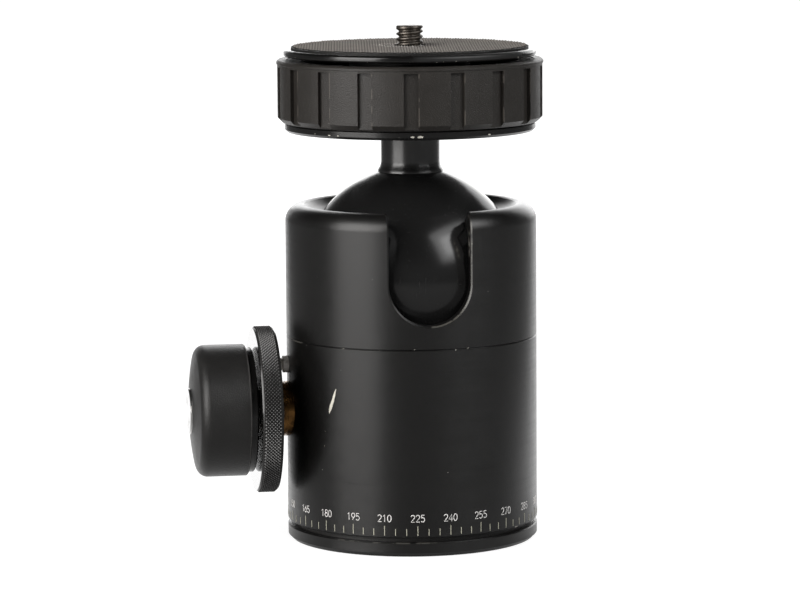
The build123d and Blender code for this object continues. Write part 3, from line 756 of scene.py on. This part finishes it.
def pad_texture(material, pitch, depth, outer, inner, top, turn):
    """Square points over a round pad, on a net of staggered rows turned by an angle in radians."""
    across = int(outer / pitch) * 2 + 4
    p = Pattern("pad_texture", Pitch=pitch, Depth=depth, Outer=outer, Inner=inner, Top=top,
                Turn=turn, Across=across, Material=material)
    column = p.index % p.given("Across")
    row = p.index // p.given("Across")
    x = (column + (row % 2) * 0.5 - p.given("Across") * 0.5) * p.given("Pitch")
    y = (row - p.given("Across")) * p.given("Pitch") * 0.5
    r = (x * x + y * y).root()
    angle = p.given("Turn")
    side, front = angle.cosine(), angle.sine()
    place = p.vector(x * side - y * front, x * front + y * side, p.given("Top"))
    size = p.vector(p.given("Pitch") * 0.5, p.given("Pitch") * 0.5, p.given("Depth"))
    keep = (r < p.given("Outer")) * (r > p.given("Inner"))
    return p.finish(p.points(p.given("Across") * p.given("Across") * 2), place, stud(p),
                    p.vector(0.0, 0.0, angle), size, keep)


def dial_marks(material, radius, foot, short, tall, width, first, step, count):
    """Upright marks round the housing, every third one tall."""
    p = Pattern("dial_marks", Radius=radius, Foot=foot, Short=short, Tall=tall, Width=width,
                First=first, Step=step, Count=count, Material=material)
    turn = p.given("First") + p.index * p.given("Step")
    is_tall = (p.index % 3) < 0.5
    height = p.given("Short") + is_tall * (p.given("Tall") - p.given("Short"))
    place = p.vector(turn.cosine() * p.given("Radius"), turn.sine() * p.given("Radius"),
                     p.given("Foot") + height * 0.5)
    bar = p.node("GeometryNodeMeshCube", inputs={"Size": (1, 1, 1)})
    size = p.vector(2 * INK, p.given("Width"), height)
    return p.finish(p.points(p.given("Count")), place, bar, p.vector(0.0, 0.0, turn), size)


# ---------------------------------------------------------------- pieces

TOUCHING = 1e-6               # points nearer than this, in metres, are one point
FLAT = radians(0.5)           # facets that turn by less are one face
EVERYWHERE = (-1.0, 1.0)      # a span of heights that holds the whole part, in metres


def settle(piece, body, slot, *replaced):
    """Fix a finished piece to its body, in place of the CAD nodes that it stands for."""
    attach(piece, body)
    if replaced:
        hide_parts(*replaced)


def as_object(name, mesh):
    """Put a mesh or a curve in the scene, at the origin."""
    piece = bpy.data.objects.new(name, mesh)
    bpy.context.scene.collection.objects.link(piece)
    return piece


def merged_copy(node, name):
    """A copy of a CAD node's mesh as one skin, for a piece that is shaped from it."""
    mesh = nodes[node].data.copy()
    mesh.name = name
    mesh.materials.clear()
    skin = bmesh.new()
    skin.from_mesh(mesh)
    bmesh.ops.remove_doubles(skin, verts=skin.verts, dist=TOUCHING)
    skin.to_mesh(mesh)
    skin.free()
    return mesh


def shade(mesh, angle=35):
    """Smooth faces, with a crease wherever the skin turns by more than an angle in degrees."""
    skin = bmesh.new()
    skin.from_mesh(mesh)
    for face in skin.faces:
        face.smooth = True
    for edge in skin.edges:
        edge.smooth = len(edge.link_faces) == 2 and edge.calc_face_angle(0) < radians(angle)
    skin.to_mesh(mesh)
    skin.free()
    return mesh


def rounded(node, body, slot, material, width, segments, sharp, span=EVERYWHERE):
    """A copy of a CAD piece with rounded edges.

    They are the edges that turn by more than sharp degrees, within a span of heights.
    """
    mesh = merged_copy(node, node + "_rounded")
    skin = bmesh.new()
    skin.from_mesh(mesh)
    bmesh.ops.dissolve_limit(skin, angle_limit=FLAT, verts=skin.verts, edges=skin.edges)
    edges = [edge for edge in skin.edges if len(edge.link_faces) == 2
             and edge.calc_face_angle(0) > radians(sharp)
             and all(span[0] < vertex.co.z < span[1] for vertex in edge.verts)]
    bmesh.ops.bevel(skin, geom=edges, offset=width, offset_type="OFFSET", segments=segments,
                    profile=0.5, affect="EDGES", clamp_overlap=True)
    skin.to_mesh(mesh)
    skin.free()
    piece = as_object(node + "_rounded", shade(mesh))
    even = piece.modifiers.new("even_normals", "WEIGHTED_NORMAL")
    even.mode, even.weight, even.keep_sharp = "FACE_AREA", 100, True
    piece.data.materials.append(material)
    settle(piece, body, slot, node)


KNURL_BAND = 0.6 * MM         # points of the ring this near its outside are drawn in
RING_FACE_REACH = 0.01 * MM   # how near a flat face a point of the ring counts as on it
RING_FACE_DROP = 0.7          # share of the bevel's width that the faces' edges are drawn in further


def knurled_ring(material):
    """The friction ring with wider bevels, drawn in by the knurl's depth and covered with points."""
    mesh = merged_copy("friction_ring", "friction_ring_knurled")
    for vertex in mesh.vertices:
        x, y, z = vertex.co.x, vertex.co.y, vertex.co.z - KNOB_Z
        r = hypot(y, z)
        if r > RING_R - KNURL_BAND:
            face = x < RING_FRONT + RING_FACE_REACH or x > RING_FRONT + RING_W - RING_FACE_REACH
            reach = RING_R - KNURL_DEPTH - (RING_FACE_DROP * RING_BEVEL if face else 0.0)
            vertex.co.y, vertex.co.z = y * reach / r, KNOB_Z + z * reach / r
            if not face:
                in_front = x < RING_FRONT + RING_W / 2
                vertex.co.x = RING_FRONT + (RING_BEVEL if in_front else RING_W - RING_BEVEL)
    piece = as_object("friction_ring_knurled", shade(mesh, 25))
    pitch = (RING_W - 2 * RING_BEVEL) / (KNURL_ROWS + 1) * 2
    diamond_knurl(material, RING_R - KNURL_DEPTH, RING_FRONT + RING_BEVEL + pitch / 2, pitch,
                  KNURL_COLUMNS, KNURL_ROWS, KNURL_DEPTH).grow_on(piece)
    settle(piece, "friction_ring", "black_aluminium", "friction_ring")


def textured_pad(material):
    """The pad, with its top let down by the depth of its points."""
    mesh = merged_copy("platform_pad", "pad_textured")
    for vertex in mesh.vertices:
        if vertex.co.z > PAD_TOP - PAD_DEPTH:
            vertex.co.z = PAD_TOP - PAD_DEPTH
    piece = as_object("pad_textured", shade(mesh))
    pad_texture(material, PAD_PITCH, PAD_DEPTH, PAD_R - PAD_PITCH / 2,
                high("camera_screw").y + PAD_GAP, PAD_TOP - PAD_DEPTH, PAD_ANGLE).grow_on(piece)
    settle(piece, "platform", "black_rubber", "platform_pad")


THREAD_PITCH = 1.27 * MM      # of the camera screw
THREAD_DEPTH = 0.6 * MM
THREAD_CREST = 0.25           # share of half a turn that the crest takes
THREAD_FLANK = 0.6            # and the sloping flank after it
THREAD_ROWS = 18              # rows of points in a turn's height
THREAD_STEPS = 72             # points round a row
RELIEF_TOP = 0.6 * MM         # how far under the pad's top the plain relief ends,
THREAD_FOOT = 0.5 * MM        # and where the thread begins
THREAD_END = 0.45 * MM        # height at the screw's tip that has no thread
THREAD_FADE = 0.5 * MM        # height below it in which the thread runs out
TIP_BEVEL = 0.2 * MM


def thread_wave(turns):
    """Depth of the thread, 0 on its crest and 1 in its root, a number of turns along it."""
    part = abs((turns % 1) - 0.5) * 2
    return min(max((part - THREAD_CREST) / THREAD_FLANK, 0), 1)


def thread_mesh(name, profile):
    """A lathe skin about the stem axis from (radius, height, depth) rows.

    Depth is how far the thread is cut at that row; a row with depth 0 is plain.
    """
    skin = bmesh.new()
    rings = []
    for radius, height, depth in profile:
        ring = []
        for i in range(THREAD_STEPS):
            turn = tau * i / THREAD_STEPS
            r = radius - depth * thread_wave(height / THREAD_PITCH - i / THREAD_STEPS)
            ring.append(skin.verts.new((r * cos(turn), r * sin(turn), height)))
        rings.append(ring)
    for a, b in zip(rings, rings[1:]):
        for i in range(THREAD_STEPS):
            j = (i + 1) % THREAD_STEPS
            skin.faces.new((a[i], a[j], b[j], b[i]))
    skin.faces.new(list(reversed(rings[0])))
    skin.faces.new(rings[-1])
    mesh = bpy.data.meshes.new(name)
    bmesh.ops.recalc_face_normals(skin, faces=skin.faces)
    skin.to_mesh(mesh)
    skin.free()
    return mesh


def camera_screw(material):
    """The platform's stud with its 1/4 in - 20 thread, a relief under the pad and a blunt point."""
    foot, top = low("camera_screw").z, high("camera_screw").z
    radius = high("camera_screw").y
    rows = int((top - PAD_TOP) / THREAD_PITCH * THREAD_ROWS)
    relief = radius - THREAD_DEPTH
    profile = [(relief, foot, 0.0), (relief, PAD_TOP - RELIEF_TOP, 0.0)]
    for i in range(rows + 1):
        height = PAD_TOP - THREAD_FOOT + (top - PAD_TOP + THREAD_FOOT) * i / rows
        room = min(1.0, max(0.0, top - height - THREAD_END) / THREAD_FADE)
        edge = radius - TIP_BEVEL * max(0.0, 1 - (top - height) / TIP_BEVEL)
        profile.append((edge, height, THREAD_DEPTH * room))
    mesh = thread_mesh("camera_screw_threaded", profile)
    piece = as_object("camera_screw_threaded", shade(mesh, 50))
    piece.data.materials.append(material)
    settle(piece, "stem", "dark_steel", "camera_screw")


INK = 0.05 * MM               # how far the paint stands proud of the wall
STROKE = 0.11 * MM            # half the width of a drawn line
DIAL_ZERO = radians(-96.7 - 225)   # from +X; the number 225 stands at -96.7 degrees
MARK_FOOT = 5.1 * MM
MARK_SHORT = 1.6 * MM
MARK_TALL = 2.3 * MM
MARK_WIDTH = 1.5 * STROKE
MARK_STEP = 5                 # degrees
NUMBER_STEP = 15
DIGIT_FOOT = 8.35 * MM
DIGIT_TALL = 1.62 * MM
DIGIT_WIDE = 0.54             # in digit heights
DIGIT_STEP = 0.72             # from one digit to the next, in digit heights


def bow(x, y, wide, tall, start, end, steps=12):
    """Points along an oval arc, between two angles in degrees."""
    return [(x + wide * cos(radians(start + (end - start) * i / steps)),
             y + tall * sin(radians(start + (end - start) * i / steps))) for i in range(steps + 1)]


DIGITS = {      # strokes of an engraver's figures, in digit heights from the lower left corner
    "0": [bow(.27, .5, .27, .5, 0, 360, 20)],
    "1": [[(.10, .80), (.30, 1), (.30, 0)]],
    "2": [bow(.27, .72, .26, .28, 165, -35) + [(.02, 0), (.54, 0)]],
    "3": [bow(.26, .75, .23, .25, 150, -90) + bow(.26, .25, .28, .25, 90, -150)],
    "4": [[(.42, 0), (.42, 1), (0, .28), (.56, .28)]],
    "5": [[(.50, 1), (.09, 1), (.05, .57)] + bow(.26, .32, .28, .32, 115, -150)],
    "6": [bow(.27, .31, .27, .31, 0, 360, 18), [(.03, .42), (.40, 1)]],
    "7": [[(0, 1), (.54, 1), (.18, 0)]],
    "8": [bow(.27, .27, .27, .27, 0, 360, 16), bow(.27, .77, .22, .23, 0, 360, 16)],
    "9": [bow(.27, .69, .27, .31, 0, 360, 18), [(.51, .58), (.14, 0)]],
}


def engraved_numbers():
    """Plain numbers round the dial, as thin filled lines just proud of the wall."""
    lines = bpy.data.curves.new("dial_numbers", "CURVE")
    lines.dimensions, lines.bevel_depth, lines.bevel_resolution = "3D", STROKE, 1
    reach = BODY_R + (INK - STROKE)
    for number in range(0, 360, NUMBER_STEP):
        digits = str(number)
        left = -((len(digits) - 1) * DIGIT_STEP + DIGIT_WIDE) / 2
        for i, digit in enumerate(digits):
            for stroke in DIGITS[digit]:
                spline = lines.splines.new("POLY")
                spline.points.add(len(stroke) - 1)
                for point, (x, y) in zip(spline.points, stroke):
                    turn = (DIAL_ZERO + radians(number)
                            + (left + i * DIGIT_STEP + x) * DIGIT_TALL / BODY_R)
                    height = DIGIT_FOOT + y * DIGIT_TALL
                    point.co = (cos(turn) * reach, sin(turn) * reach, height, 1)
    writer = as_object("dial_numbers", lines)
    mesh = plain_mesh(writer)
    bpy.data.objects.remove(writer)
    return mesh


def dial(material):
    """The panning scale engraved round the foot of the housing: marks and plain numbers."""
    piece = as_object("pan_dial", engraved_numbers())
    dial_marks(material, BODY_R, MARK_FOOT, MARK_SHORT, MARK_TALL, MARK_WIDTH,
               DIAL_ZERO, radians(MARK_STEP), 360 // MARK_STEP).grow_on(piece)
    settle(piece, "housing", "black_aluminium")


def dress(node, material):
    """Give a CAD node its finish."""
    slots = nodes[node].data.materials
    slots.clear()
    slots.append(material)


steel = turned_metal("bright_steel", grey(0.55, 0.02), grey(0.30, 0.05))
# the stop pin has a near-white matt colour: a painted highlight standing in for its steel's bright glints
pin_steel = turned_metal("stop_pin_steel", grey(0.95, 0.06), grey(0.3, 0.1), roughness=0.3,
                         along="x", metal=0.0)
dark_steel = turned_metal("dark_steel", grey(0.16, 0.12), grey(0.06, 0.15), roughness=0.42)
black_steel = turned_metal("black_oxide_steel", grey(0.05, 0.05), grey(0.02, 0.05), roughness=0.38)
aluminium = turned_metal("bare_aluminium", grey(0.72, 0.01), grey(0.5, 0.02), roughness=0.3)
badge_plate = turned_metal("badge_plate", grey(0.75, 0.01), grey(0.5, 0.02), roughness=0.18, along="x")
# the brass is dark all over: partly tarnish, partly painted shade from the parts round it
brass = turned_metal("brass", (0.17, 0.085, 0.027, 1), (0.02, 0.011, 0.006, 1), roughness=0.2,
                     along="x")
rubber = moulded("black_rubber", 0.02, 0.7)
grey_rubber = moulded("grey_rubber", 0.12, 0.7)
acetal = moulded("black_acetal", 0.015, 0.45)
ptfe = moulded("white_ptfe", 0.7, 0.5)
platform_chips = ((-118, 0.35), (-99, 0.3), (-84, 0.4), (-78, 0.45))
lower_disc_chips = ((-138, 0.7), (-133, 0.5), (-98, 1.0), (-94.5, 1.5), (-61, 0.8))

finishes = {
    "lower_housing": anodised("housing_black", edges=lower_housing_edges),
    "upper_housing": anodised("rim_black", edges=upper_housing_edges),
    "base_plate": anodised("base_black", edges=base_edges),
    "platform_disc": anodised(
        "platform_gloss", gloss=0.19, edges=disc_edges(PLATFORM_EDGE, platform_chips),
        grain=0.006, turned=0.1, dulled=(-68, 32)),
    "lower_disc": anodised(
        "disc_gloss", gloss=0.24, edges=disc_edges(LOWER_DISC_EDGE, lower_disc_chips),
        grain=0.006, turned=0.25),
    "knob_core": anodised("knob_core_black", gloss=0.24, grain=0.006, turned=0.0),
    "wheel_core": anodised("wheel_core_black", gloss=0.55, turned=0.0),
    "ball": ball_black(),
    "knob_cap": moulded("knob_cap_soft_black", 0.012, 0.36, grain=0.08, lump=0.34, edges=cap_edge),
    "knob_badge": badge_plate, "knob_bush": brass, "knob_shaft": steel, "knob_screw": black_steel,
    "thread_insert": steel, "thrust_washer": acetal, "retaining_nut": steel,
    "ball_collar": acetal, "ball_liner": ptfe, "cup_piston": aluminium, "cup_seal": rubber,
    "brake_piston": aluminium, "brake_seal": rubber, "brake_lining": grey_rubber,
    "preload_spring": steel, "ring_clip": black_steel, "stop_pin": pin_steel,
    "plunger": steel, "plunger_seal": rubber, "neck_bolt": black_steel,
    "platform_hub": dark_steel, "disc_screws": black_steel, "camera_screw": dark_steel,
}
for node, finish in finishes.items():
    dress(node, finish)

rounded("grip_ring", "hand_wheel", "black_rubber",
        moulded("grip_rubber", 0.015, 0.4, grain=0.09, dust=2.2, warmth=0.14, lump=0.26, edges=grip_edges),
        width=0.2 * MM, segments=2, sharp=40)
rounded("neck", "stem", "black_steel",
        anodised("neck_black", gloss=0.31, grain=0.004, specular=1.0, turned=0.65),
        width=1.0 * MM, segments=6, sharp=20, span=(BALL_Z + BALL_R, BALL_Z + BALL_R + 2 * MM))
knurled_ring(anodised("ring_knurl", level=0.012, gloss=0.3, edges=knurl_tips, grain=0.006,
                      turned=0.0, polished=ring_faces, bare_and_lit_tone=grey(0.45)))
textured_pad(pad_rubber())
camera_screw(dark_steel)
dial(ink())
